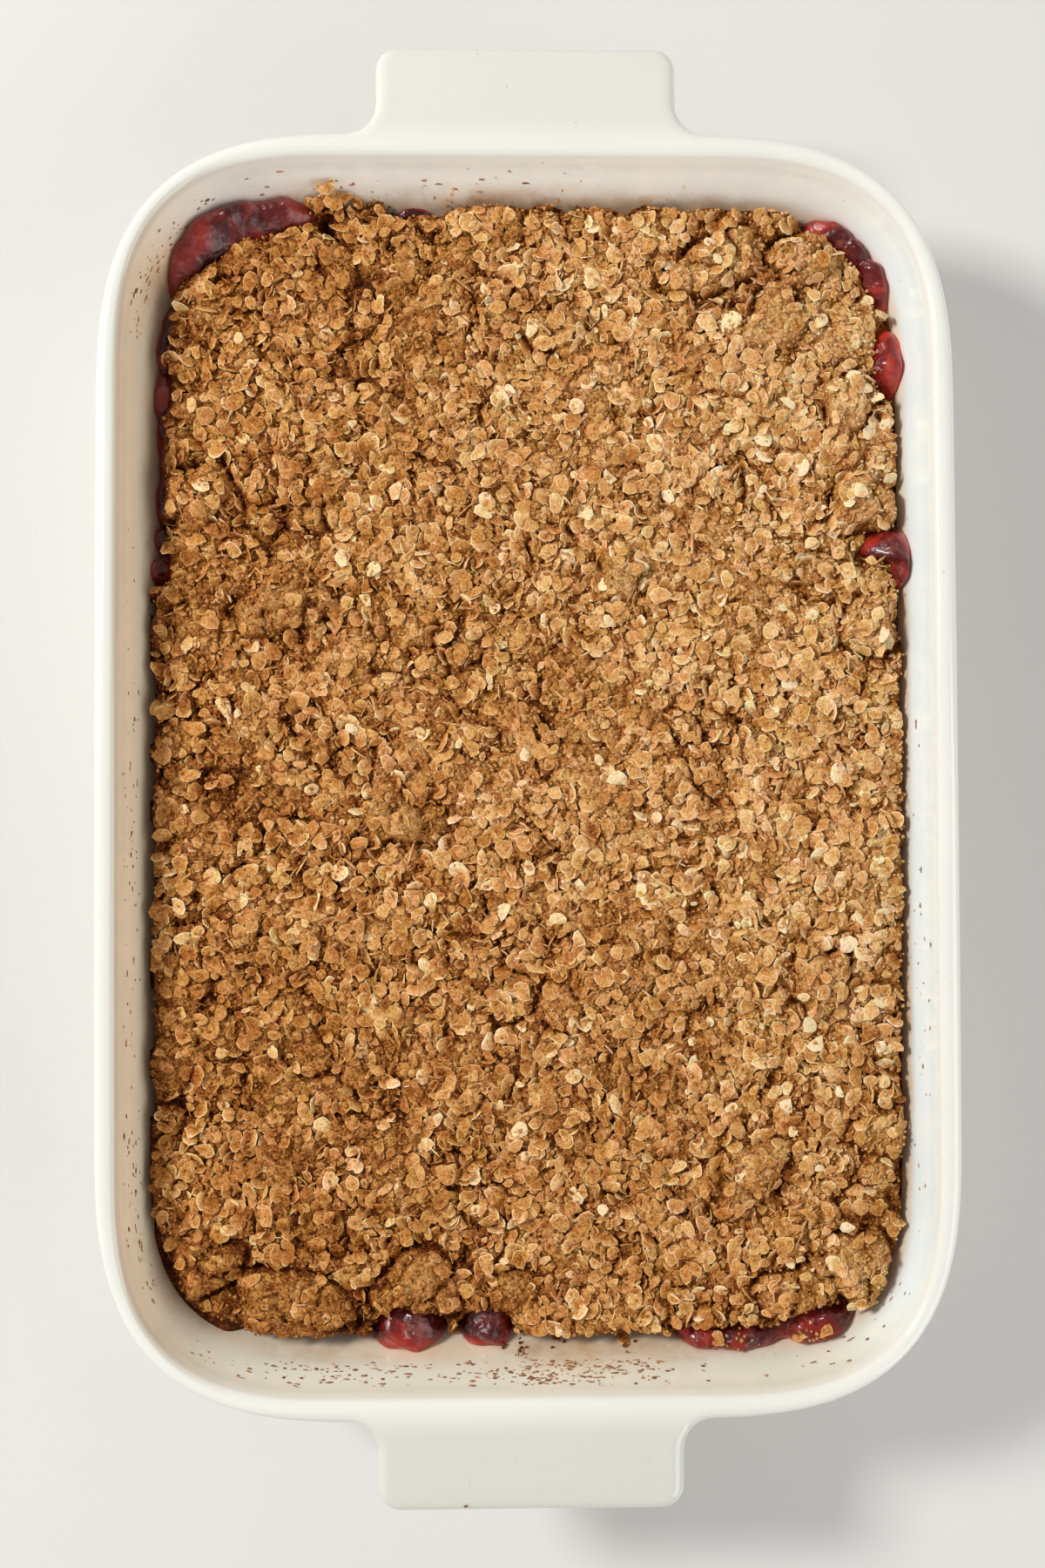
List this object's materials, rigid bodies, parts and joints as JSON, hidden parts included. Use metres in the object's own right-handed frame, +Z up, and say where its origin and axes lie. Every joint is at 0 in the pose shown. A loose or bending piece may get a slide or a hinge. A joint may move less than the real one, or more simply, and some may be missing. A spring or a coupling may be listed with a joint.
{
  "type": "cherry crisp in a baking dish",
  "caption": "Oblong ceramic baking dish with a tab handle at each end, filled with cherry filling under a rough baked oat crumble crust.",
  "frame": {"origin": "middle of the dish's foot, on the surface that it stands on", "axes": "+Z up, +Y along the dish towards its far handle, +X to the right"},
  "size_m": [0.247, 0.4166, 0.064],
  "materials": {
    "baking_dish": "glossy off-white glazed stoneware",
    "cherry_filling": "glossy dark red cooked fruit and syrup",
    "oat_topping": "matte golden-brown baked oats"
  },
  "bodies": {
    "root": {"baking_dish": "baking_dish", "cherry_filling": "cherry_filling", "oat_topping": "oat_topping"}
  },
  "joints": []
}
